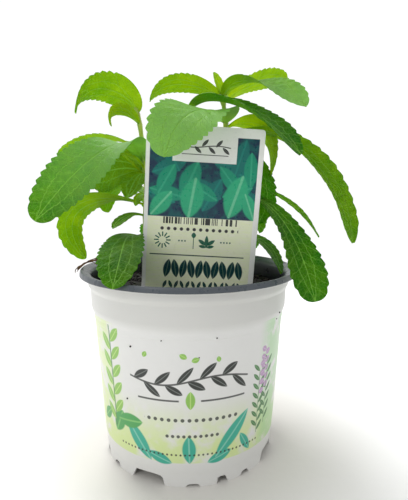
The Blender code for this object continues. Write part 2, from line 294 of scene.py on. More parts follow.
def rounded(points, radius, steps=4):
    route = [points[0]]
    for before, corner, after in zip(points, points[1:], points[2:]):
        back = Vector(before) - Vector(corner)
        on = Vector(after) - Vector(corner)
        cut = min(radius, back.length * 0.45, on.length * 0.45)
        start = Vector(corner) + back.normalized() * cut
        end = Vector(corner) + on.normalized() * cut
        for step in range(steps + 1):
            share = step / steps
            first = start.lerp(Vector(corner), share)
            route.append(tuple(first.lerp(Vector(corner).lerp(end, share), share)))
    return route + [points[-1]]


def foot_edge(angle):
    edge = 0.0
    for middle, width, height in NOTCHES:
        away = (math.degrees(angle) - middle + 45) % 90 - 45
        reach = math.radians(away) * FOOT_RADIUS / (width / 2)
        if abs(reach) < 1:
            edge = max(edge, height * (1 - abs(reach) ** 5) ** 0.5)
    return edge


def turned(profile, sides):
    bm = bmesh.new()
    rings = []
    for number in range(sides):
        angle = 2 * math.pi * number / sides
        rings.append([bm.verts.new((r * math.sin(angle), -r * math.cos(angle), z)) if r > 0 else None
                      for r, z in profile])
    poles = {i: bm.verts.new((0, 0, z)) for i, (r, z) in enumerate(profile) if r <= 0}
    faces = []
    for first, second in zip(rings, rings[1:] + rings[:1]):
        for step in range(len(profile) - 1):
            corners = [first[step] or poles[step], first[step + 1] or poles[step + 1],
                       second[step + 1] or poles[step + 1], second[step] or poles[step]]
            kept = list(dict.fromkeys(corners))
            faces.append((bm.faces.new(kept), step))
    return bm, faces


def piece_of(name, bm, finishes, smooth_angle=40):
    for vertex in bm.verts:
        vertex.co *= MM
    mesh = bpy.data.meshes.new(name)
    bm.to_mesh(mesh)
    bm.free()
    for finish in finishes:
        mesh.materials.append(finish)
    mesh.shade_smooth()
    mesh.set_sharp_from_angle(angle=math.radians(smooth_angle))
    return placed(name, mesh)


inner = rounded([
    (0, BASE_PLATE_TOP), (45.0, BASE_PLATE_TOP), (47.1, 12.0), (51.8, 78.2), (53.0, 83.0), (53.4, 92.4),
    (54.2, 99.6), (55.0, 100.9), (58.6, 102.4), (59.5, POT_HEIGHT), (RIM_RADIUS, 102.1),
    (60.4, 99.9), (60.1, 99.6), (57.2, 99.5)], 0.5)
outer = rounded([
    (57.2, 99.5), (56.4, 98.2), (56.1, 94.8), (54.9, 92.6), (54.5, 83.2), (53.2, 78.6), (53.05, 76.4),
    (52.85, 76.1), WALL_LOW, (47.7, 6.3), (FOOT_RADIUS, 4.0), (FOOT_RADIUS, 0)], 0.6)
under = [
    (FOOT_RADIUS, 0), (FOOT_RADIUS - WALL, 0), (FOOT_RADIUS - WALL - 0.4, 5.4), (44.0, BASE_PLATE_UNDER),
    (PAD_RADIUS + 1.5, BASE_PLATE_UNDER), (PAD_RADIUS, 0), (0, 0)]
profile = inner + outer[1:] + under[1:]
pot_mesh, pot_faces = turned(profile, POT_SIDES)
slate_steps = len(inner) - 1
for face, step in pot_faces:
    face.material_index = 0 if step < slate_steps else 1
# The outer edge of the foot ring rises into its scallops, below the wall.
for vertex in pot_mesh.verts:
    radius = math.hypot(vertex.co.x, vertex.co.y)
    edge = foot_edge(math.atan2(vertex.co.x, -vertex.co.y))
    if radius > PAD_RADIUS + 5 and vertex.co.z < 0.1:
        vertex.co.z += edge
    if radius > FOOT_RADIUS - WALL - 1 and 3 < vertex.co.z < 5:
        vertex.co.z = max(vertex.co.z, edge + 0.4)
bmesh.ops.recalc_face_normals(pot_mesh, faces=pot_mesh.faces)


# A printed leaf: one lens-shaped mark with its rib, at a place, an angle, a length and a width.
def make_printed_leaf():
    group = bpy.data.node_groups.new("printed_leaf", "ShaderNodeTree")
    for name in ("Where", "Place", "Angle", "Length", "Width"):
        kind = "Vector" if name in ("Where", "Place") else "Float"
        group.interface.new_socket(name, in_out="INPUT", socket_type="NodeSocket" + kind)
    for name in ("Inside", "Rib"):
        group.interface.new_socket(name, in_out="OUTPUT", socket_type="NodeSocketFloat")
    given = group.nodes.new("NodeGroupInput")
    where, place, angle, length, width = [Value(group, socket) for socket in given.outputs[:5]]
    result = group.nodes.new("NodeGroupOutput")
    away = add(group, "VectorMath", {0: where, 1: place}, operation="SUBTRACT")
    turned_back = add(group, "VectorRotate", {"Vector": away, "Angle": angle * -1.0}, rotation_type="Z_AXIS")
    along, across = parts(turned_back)[:2]
    along = along / length
    aside = maths("ABSOLUTE", across / (width * 0.5))
    belly = maths("MULTIPLY", along, 1.0 - along, clamp=True) * 4.0
    inside = maths("MULTIPLY", belly ** 0.8 - aside, 6.0, clamp=True)
    link(inside, result, "Inside")
    link(ramp(aside, 0.05, 0.16, 1.0, 0.0) * inside, result, "Rib")
    return group


PRINTED_LEAF = make_printed_leaf()


def print_leaves(where, ground, colour, rib_colour, leaves):
    tree = where.tree
    for x, y, angle, length, width in leaves:
        inside = add(tree, "Group", {"Where": where, "Place": (x, y, 0), "Angle": math.radians(angle),
                                     "Length": length, "Width": width}, node_tree=PRINTED_LEAF)
        rib = Value(tree, inside.socket.node.outputs["Rib"])
        ground = mixed(rib * 0.6, mixed(inside, ground, colour), rib_colour)
    return ground


def between(value, low, high, soft):
    return ramp(value, low - soft, low + soft) * ramp(value, high - soft, high + soft, 1.0, 0.0)


def print_line(x, y, first, last, height, thick, wave=0.0, pitch=20.0):
    bend = maths("SINE", x / pitch) * wave
    off = maths("ABSOLUTE", y - height - bend)
    return ramp(off, thick / 2 - 0.08, thick / 2 + 0.12, 1.0, 0.0) * between(x, first, last, 0.3)


def print_dots(x, y, first, last, height, pitch, size):
    away = maths("SQRT", maths("PINGPONG", x, pitch / 2) ** 2.0 + (y - height) ** 2.0)
    return ramp(away, size - 0.2, size + 0.1, 1.0, 0.0) * between(x, first + 0.05, last + 0.05, 0.05)


# A row of equal printed leaves, each in the middle of its own stretch of the row.
def print_row(x, y, ground, colour, rib_colour, first, count, pitch, height, angle, length, width):
    reach = length / 2 * math.cos(math.radians(angle))
    cell = maths("FLOORED_MODULO", x - first, pitch)
    within = maths("GREATER_THAN", x, first) * maths("LESS_THAN", x, first + count * pitch)
    where = add(x.tree, "CombineXYZ", {"X": cell, "Y": y + (1.0 - within) * 1000.0})
    leaf = (pitch / 2 - reach, height, angle, length, width)
    return print_leaves(where, ground, colour, rib_colour, [leaf])


def in_mm(where):
    return add(where.tree, "VectorMath", {0: where, "Scale": 1 / MM}, operation="SCALE")


slate_plastic, tree, shader = finish_of("slate_plastic", 0.34, specular_ior_level=0.5)
slate = mixed(noise_at(here(tree), 90, 4), SLATE, SLATE_WORN)
up = parts(in_mm(here(tree)))[2]
# Painted shade: below the lip, the slate inside the pot is painted near black as the shade in the pot.
link(mixed(ramp(up, 96.0, 100.4), SLATE_PAINTED_SHADE, slate), shader)
link(ramp(noise_at(here(tree), 260, 3), 0.3, 0.7, 0.26, 0.42), shader, "Roughness")
bumped(shader, noise_at(here(tree), 45, 2), 0.35)

white_plastic, tree, shader = finish_of("white_plastic", 0.38, specular_ior_level=0.45)
spot = in_mm(here(tree))
x, y, height = parts(spot)
around = maths("ARCTAN2", x, y * -1.0) * PRINT_RADIUS
wall = add(tree, "CombineXYZ", {"X": around, "Y": height})
wet = noise_at(spot, 0.09, 4, 0.6)
front_half = ramp(maths("ABSOLUTE", around), 74.0, 84.0, 1.0, 0.0)
print_zone = ramp(height, 12.8, 13.4) * ramp(height, 80.4, 81.2, 1.0, 0.0) * front_half
colour = mixed(ramp(height, 78.0, 84.0), POT_WHITE, COLLAR_WHITE)
colour = mixed(noise_at(spot, 0.4, 3) * 0.12, colour, POT_DULL)
# Watery washes low on the wall, at the right and at the left
for wash, strength, tint in (
        (ramp(height, 18.0, 50.0, 1.0, 0.0) * ramp(wet, 0.30, 0.56), 0.95, PRINT_WASH),
        (ramp(around, 36.0, 48.0) * ramp(wet, 0.34, 0.52), 0.7, PRINT_COOL_WASH),
        (ramp(around, -34.0, -48.0) * ramp(wet, 0.38, 0.56), 0.7, PRINT_WASH)):
    colour = mixed(wash * strength * print_zone, colour, tint)
colour = print_leaves(wall, colour, PRINT_TEAL, (0.35, 0.68, 0.55), [
    (-20, 13, 126, 24, 8.5), (-9, 13, 160, 14, 6.0), (0, 12.8, 92, 15, 7.5), (9, 13, 20, 14, 6.0),
    (13, 15, 50, 29, 8.0), (34, 14, 122, 13, 5.0)])
colour = print_leaves(wall, colour, PRINT_LEAF, (0.30, 0.62, 0.20), [
    (-44, 22, 62, 15, 9.0), (-41, 30, 8, 17, 8.5), (-58, 24, 40, 13, 6.5)])
# Upright sprays: a leafy one at the left, two herbs and a flower head at the right
for tint, rib, rows in (
        (PRINT_GREEN, PRINT_GREEN_RIB, [
            (32.0, 5, 9.4, -43.5, 40, 11.0, 5.0), (27.4, 5, 9.4, -43.5, -40, 11.0, 5.0)]),
        (PRINT_HERB, (0.3, 0.5, 0.3), [
            (22.0, 7, 5.0, 39.0, 46, 6.6, 2.2), (24.5, 7, 5.0, 39.0, -46, 6.6, 2.2),
            (26.0, 7, 5.0, 45.5, 46, 6.6, 2.2), (28.5, 7, 5.0, 45.5, -46, 6.6, 2.2)]),
        (PRINT_LILAC, (0.75, 0.6, 0.75), [
            (44.0, 5, 4.4, 43.0, 60, 4.4, 3.4), (46.0, 5, 4.4, 43.6, -60, 4.4, 3.4),
            (41.0, 4, 5.0, 39.0, 75, 4.4, 3.4)])):
    for row in rows:
        colour = print_row(height, around, colour, tint, rib, *row)
stalks = most(*[print_line(around, height, *row) for row in (
    (-43.9, -43.1, 52.0, 54.0), (38.8, 39.2, 38.0, 34.0), (45.3, 45.7, 42.0, 36.0))])
colour = mixed(stalks, colour, PRINT_HERB)
# Waving dark branch, with two rules and three rows of dots under it
swung = height - maths("SINE", around / 9.0) * 2.2
for first, angle in ((-29.0, 40), (-23.6, -36)):
    colour = print_row(around, swung, colour, PRINT_INK, (0.25, 0.27, 0.25), first, 5, 10.8, 56.0, angle,
                       10.5, 3.8)
ink = print_line(around, swung, -30.0, 30.0, 56.0, 0.9)
for first, last in ((-26.0, -5.0), (5.5, 28.5)):
    ink = most(ink, print_line(around, height, first, last, 46.0, 0.9))
for row in ((-23.0, 25.0, 36.0, 3.4, 1.0), (-13.0, 15.0, 27.5, 2.8, 0.9), (-40.0, 40.0, 17.5, 2.3, 0.6)):
    ink = most(ink, print_dots(around, height, *row))
colour = mixed(ink * 0.9, colour, PRINT_INK)
colour = print_leaves(wall, colour, PRINT_GREEN, PRINT_GREEN_RIB, [
    (0.5, 41.5, 90, 9.5, 5.0), (1.0, 66.0, 20, 4.0, 3.0), (-1.0, 67.5, 150, 4.0, 3.0),
    (-22.0, 67.0, 60, 3.4, 2.6), (14.0, 65.0, 100, 3.0, 2.4)])
link(colour, shader)
link(ramp(noise_at(spot, 1.6, 5, 0.65), 0.3, 0.7, 0.32, 0.46), shader, "Roughness")
bumped(shader, noise_at(spot, 0.22, 3), 0.12)

drain_tools = bpy.data.collections.new("drain_tools")
for number in range(DRAIN_HOLES):
    angle = math.radians(15 + 360 * number / DRAIN_HOLES)
    punch_mesh = bmesh.new()
    bmesh.ops.create_cone(punch_mesh, cap_ends=True, segments=40, radius1=DRAIN_RADIUS,
                          radius2=DRAIN_RADIUS, depth=8)
    bmesh.ops.translate(punch_mesh, verts=punch_mesh.verts, vec=(DRAIN_CIRCLE * math.cos(angle),
                        DRAIN_CIRCLE * math.sin(angle), 8))
    punch = piece_of(f"punch_{number}", punch_mesh, [])
    bpy.context.scene.collection.objects.unlink(punch)
    drain_tools.objects.link(punch)
pot = piece_of("pot_shell", pot_mesh, [slate_plastic, white_plastic], 35)
drains = pot.modifiers.new("drains", "BOOLEAN")
drains.operand_type = "COLLECTION"
drains.collection = drain_tools
drains.solver = "EXACT"


def apply_modifiers(thing):
    graph = bpy.context.evaluated_depsgraph_get()
    finished = bpy.data.meshes.new_from_object(thing.evaluated_get(graph))
    thing.modifiers.clear()
    thing.data = finished


apply_modifiers(pot)
for tool in list(drain_tools.objects):
    bpy.data.objects.remove(tool)
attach(pot, "root")
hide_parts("pot")


# Soil
# Dark peat-based potting soil, filled to a finger's width under the lip. Its top is loose crumbs
# and fibres, with a few brown chips of bark.
SOIL_TOP = 91.0
SOIL_RADIUS = 52.9
SOIL_LUMP = 1.1
SOIL_SIDES = 120
CRUMBS = 1600
CRUMB_REACH = 51.0
BARK_SHARE = 0.04
FIBRES = 30
FIBRE_REACH = 48.0

soil_mix, tree, shader = finish_of("soil_mix", 0.95)
grain = noise_at(here(tree), 700, 4, 0.65)
earth = mixed(grain, (0.002, 0.0017, 0.0013), (0.012, 0.008, 0.006))
link(mixed(ramp(noise_at(here(tree), 120, 3), 0.55, 0.75), earth, (0.020, 0.014, 0.010)), shader)
bumped(shader, grain, 0.6)
bark_chip, tree, shader = finish_of("bark_chip", 0.85)
streak = noise_at(here(tree), 900, 3)
link(mixed(streak, (0.025, 0.014, 0.008), (0.07, 0.042, 0.024)), shader)
bumped(shader, streak, 0.3)

rng = np.random.default_rng(11)
rings = [0] + [3.0 + 2.6 * n for n in range(19)] + [51.2, 52.3]
top = [(radius, SOIL_TOP) for radius in rings]
side = [(SOIL_RADIUS, 90.2), (52.5, 83.0), (51.3, 78.2), (46.6, 12.2), (44.6, 9.7), (0, 9.7)]
soil_mesh = turned(top + side, SOIL_SIDES)[0]
for vertex in soil_mesh.verts:
    if vertex.co.z > SOIL_TOP - 0.2:
        rough = noise.noise(vertex.co * 0.14) + 0.6 * noise.noise(vertex.co * 0.42)
        vertex.co.z += SOIL_LUMP * rough + 0.5


def crumb(bm, place, size, finish_number, spin, stretch=(1, 1, 1)):
    made = bmesh.ops.create_icosphere(bm, subdivisions=1, radius=size)
    for vertex in made["verts"]:
        vertex.co *= 1 + 0.35 * noise.noise(vertex.co * 1.7 + Vector(place))
        vertex.co = spin @ Vector([c * s for c, s in zip(vertex.co, stretch)]) + Vector(place)
        for face in vertex.link_faces:
            face.material_index = finish_number


def turn(angle, axis):
    return Matrix.Rotation(angle, 3, axis)


def any_spin():
    turns = rng.uniform(0, 2 * math.pi, 3)
    return turn(turns[0], "X") @ turn(turns[1], "Y") @ turn(turns[2], "Z")


def any_place(reach, height):
    radius = reach * math.sqrt(rng.uniform())
    angle = rng.uniform(0, 2 * math.pi)
    return radius * math.cos(angle), radius * math.sin(angle), height


for number in range(CRUMBS):
    x, y, z = any_place(CRUMB_REACH, SOIL_TOP + 0.4)
    size = 0.35 + 1.2 * rng.uniform() ** 3
    finish_number = 1 if rng.uniform() < BARK_SHARE else 0
    crumb(soil_mesh, (x, y, z + size * 0.3), size, finish_number, any_spin())
for number in range(FIBRES):
    place = any_place(FIBRE_REACH, SOIL_TOP + 1.3)
    flat_spin = turn(rng.uniform(0, math.pi), "Z") @ turn(rng.uniform(-0.2, 0.2), "X")
    crumb(soil_mesh, place, 0.3, 1, flat_spin, (rng.uniform(5, 11), 0.8, 0.8))
# Soil specks that stuck to the outside when the pot was filled: angle from the front and height.
SPECKS = [(-32, 71, 0.55), (-14, 76, 0.4), (14, 77, 0.4), (60, 82, 0.6), (58, 79, 0.45), (-37, 43, 0.45),
          (5, 68, 0.3), (150, 60, 0.5), (-120, 48, 0.45), (110, 30, 0.4), (-90, 88, 0.5), (200, 84, 0.6)]
for angle, height, size in SPECKS:
    share = (height - WALL_LOW[1]) / (WALL_HIGH[1] - WALL_LOW[1])
    radius = WALL_LOW[0] + (WALL_HIGH[0] - WALL_LOW[0]) * share + (0.6 if height > 80 else 0) + size * 0.2
    place = (radius * math.sin(math.radians(angle)), -radius * math.cos(math.radians(angle)), height)
    crumb(soil_mesh, place, size, 0, any_spin())
bmesh.ops.recalc_face_normals(soil_mesh, faces=soil_mesh.faces)
soil = piece_of("soil_fill", soil_mesh, [soil_mix, bark_chip], 50)
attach(soil, "root")
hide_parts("soil")


# Plant tag
# A stiff printed plastic card, white at its edges, pushed into the soil on a pointed tail in front
# of the stems. Its front has a leaf picture above a pale field; its back is plain.
TAG_WIDTH = 60.5
TAG_TOP = 177.5
TAG_SHOULDER = 90.0
TAG_TAIL_WIDTH = 24.0
TAG_TIP = 62.0
TAG_THICKNESS = 0.8
TAG_FOOT = (4.4, -12.6, 90.0)
TAG_LEAN = 4.6
TAG_ROLL = 3.3

height = TAG_TOP - TAG_FOOT[2]
half = TAG_WIDTH / 2
tail = TAG_SHOULDER - TAG_FOOT[2] - 9
tip = TAG_TIP - TAG_FOOT[2]
right = [(0, height), (half, height), (half, 0), (TAG_TAIL_WIDTH / 2, tail), (3, tip), (0, tip)]
right = rounded(right, 2.0, 6)
outline = right + [(-x, z) for x, z in reversed(right) if x > 0]
tag_mesh = bmesh.new()
front = tag_mesh.faces.new([tag_mesh.verts.new((x, -TAG_THICKNESS / 2, z)) for x, z in outline])
swept = bmesh.ops.extrude_face_region(tag_mesh, geom=[front])
for item in swept["geom"]:
    if isinstance(item, bmesh.types.BMVert):
        item.co.y = TAG_THICKNESS / 2
bmesh.ops.recalc_face_normals(tag_mesh, faces=tag_mesh.faces)
tag_card, tree, shader = finish_of("tag_card", 0.32, specular_ior_level=0.5)
spot = in_mm(here(tree))
x, z = parts(spot)[::2]
card = add(tree, "CombineXYZ", {"X": x, "Y": z})


def panel(x, y, left, right, low, high, soft=0.12):
    return between(x, left, right, soft) * between(y, low, high, soft)


def stretched(where, scale):
    return add(where.tree, "Mapping", {"Vector": where, "Scale": scale})


TAG_WHITE = (0.95, 0.945, 0.93)
TAG_FIELD = (0.92, 0.98, 0.66)
TAG_FIELD_PALE = (0.95, 0.97, 0.78)
TAG_SHADE = (0.004, 0.028, 0.075)
TAG_DARK_INK = (0.0, 0.045, 0.05)
TAG_GREEN_INK = (0.01, 0.13, 0.07)
grain = noise_at(stretched(card, (0.15, 2.2, 1.0)), 1.0, 3.0)
field = mixed(ramp(grain, 0.35, 0.7), TAG_FIELD, TAG_FIELD_PALE)
# Leaf picture: leaves behind, between and in front, each row brighter than the one behind it
picture = mixed(ramp(noise_at(card, 0.16, 3, 0.6), 0.4, 0.62), TAG_SHADE, (0.0, 0.12, 0.12))
for tint, rib, leaves in (
        ((0.0, 0.20, 0.17), (0.01, 0.34, 0.26), [
            (-27, 63, 20, 19, 9), (-9, 60, -25, 21, 10), (5, 69, 0, 19, 9), (27, 62, 165, 18, 9),
            (-21, 80, -62, 18, 8), (21, 82, -105, 20, 9), (0, 44, 62, 20, 10), (27, 46, 125, 19, 9),
            (-14, 48, 160, 16, 8), (20, 56, -40, 16, 8)]),
        ((0.005, 0.36, 0.20), (0.06, 0.56, 0.32), [
            (-28, 55, -12, 20, 8), (-3, 70, -112, 21, 11), (8, 68, -50, 19, 8), (-15, 68, -118, 18, 9),
            (24, 76, -88, 19, 8), (8, 50, 150, 18, 8), (26, 58, -160, 17, 8)]),
        ((0.03, 0.52, 0.25), (0.30, 0.85, 0.52), [
            (-27, 41, 50, 17, 10), (-7, 40, 82, 22, 13), (14, 41, 74, 24, 13), (28, 40, 112, 16, 8)])):
    picture = print_leaves(card, picture, tint, rib, leaves)
picture = mixed(noise_at(card, 0.5, 4, 0.7) * 0.35, picture, TAG_SHADE)
colour = mixed(panel(x, z, -28.2, 27.4, -40.0, 40.6), TAG_WHITE, field)
colour = mixed(panel(x, z, -28.2, 27.6, 40.6, 82.6), colour, picture)
colour = mixed(panel(x, z, -16.6, 16.4, 69.4, 90.0), colour, TAG_WHITE)
# Little branch on the white panel, and a thin rule under it
for first, angle in ((-11.0, 48), (-7.4, -42)):
    colour = print_row(x, z, colour, PRINT_INK, (0.3, 0.3, 0.3), first, 3, 7.2, 77.3, angle, 5.0, 1.8)
ink = most(print_line(x, z, -12.0, 13.0, 77.3, 0.45, 0.6, 4.0), print_line(x, z, -12.0, 12.0, 73.2, 0.35))
colour = mixed(ink, colour, PRINT_INK)
# Row of upright bars and a row of dots under the picture
bars = add(tree, "TexWhiteNoise", {"W": maths("FLOOR", x * 2.3)}, "Value", noise_dimensions="1D")
bars = maths("GREATER_THAN", bars, 0.5) * panel(x, z, -20.0, 19.0, 37.0, 40.5, 0.05)
colour = mixed(most(bars, print_dots(x, z, -22.0, 20.0, 34.3, 3.4, 0.95)), colour, PRINT_INK)
# Sun with rays, a sprout beside a height rule, and short rows of dots
sun_x = x + 20.0
sun_y = z - 28.0
sun_out = maths("SQRT", sun_x ** 2.0 + sun_y ** 2.0)
sun_turn = maths("PINGPONG", maths("ARCTAN2", sun_y, sun_x) * (6 / math.pi), 0.5)
sun_ring = maths("GREATER_THAN", sun_out, 2.0) * maths("LESS_THAN", sun_out, 4.4)
rays = maths("LESS_THAN", sun_turn * sun_out, 0.65) * sun_ring
colour = print_leaves(card, colour, TAG_GREEN_INK, TAG_GREEN_INK, [
    (3.5, 24.5, 90, 7.0, 2.2), (3.5, 26, 145, 5.4, 2.2), (3.5, 26, 35, 5.4, 2.2), (3.5, 25, 170, 4.2, 1.8),
    (3.5, 25, 10, 4.2, 1.8), (-3.5, 29.6, 90, 3.2, 2.6)])
ink = most(rays, panel(x, z, -3.7, -3.3, 23.8, 30.0, 0.1))
for first, last in ((-12.0, -7.0), (10.5, 16.5)):
    ink = most(ink, print_dots(x, z, first, last, 28.0, 1.6, 0.5))
colour = mixed(ink, colour, TAG_GREEN_INK)
# Dark rule, and two bands of leaves under it
colour = mixed(print_line(x, z, -26.5, 24.0, 20.2, 0.55), colour, TAG_DARK_INK)
for row in ((-21.2, 5, 8.6, 7.6, 80, 10.4, 4.4), (-16.9, 5, 8.6, 7.6, 100, 10.4, 4.4),
            (-21.0, 7, 6.2, 1.6, 68, 4.8, 1.8), (-17.9, 7, 6.2, 1.6, 112, 4.8, 1.8)):
    colour = print_row(x, z, colour, TAG_DARK_INK, (0.20, 0.30, 0.22), *row)
is_front = maths("LESS_THAN", parts(here(tree, "Normal"))[1], -0.5)
link(mixed(is_front, TAG_WHITE, colour), shader)
link(ramp(noise_at(spot, 0.5, 3), 0.3, 0.7, 0.26, 0.4), shader, "Roughness")
bumped(shader, noise_at(spot, 0.12, 2), 0.2)

tag = piece_of("tag_card", tag_mesh, [tag_card], 40)
tag.matrix_world = (Matrix.Translation(Vector(TAG_FOOT) * MM)
                    @ Matrix.Rotation(math.radians(TAG_LEAN), 4, "X")
                    @ Matrix.Rotation(math.radians(TAG_ROLL), 4, "Y"))
edge = tag.modifiers.new("edge", "BEVEL")
edge.width = 0.12 * MM
edge.segments = 2
edge.limit_method = "ANGLE"
apply_modifiers(tag)
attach(tag, "root")
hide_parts("plant_tag")


# Leafy stems
# Soft green stems with opposite leaves, arched outwards and downwards. Each blade is thin, toothed in
# its outer part, with a sunk midrib and two side veins that run along the edge, and in places a pale painted
# sheen, the light its fine hairs catch.
STEM_FOOT = 76.0
STEM_SIDES = 18
STEM_HAIRS = 900
HAIR_RADIUS = 0.05
HAIR_LENGTH = 0.8
NODE_SWELL = 0.28
NODE_LONG = 2.2
SWELL_LIMIT = 0.45
ROUTE_STEPS = 10
BLADE_ROOT = 0.75
BLADE_HALF = 0.2
TEETH_FROM = 0.36
TEETH_TO = 0.93
TEETH_MORE = 1.5
TOOTH = 0.11
TOOTH_STEPS = 7
# The finishes of a stem, in the order of its material slots.
UPPER, UNDER, SKIN, HAIR = range(4)

Leaf = namedtuple("Leaf", "root rise arch tip width face_in face_out widest blunt cup teeth tone down",
                  defaults=(0.6, 0.6, (30, 15), 5, 0.4, (0, 0)))
Stem = namedtuple("Stem", "route foot_radius top_radius leaves")
UP = (0, 0, 1)
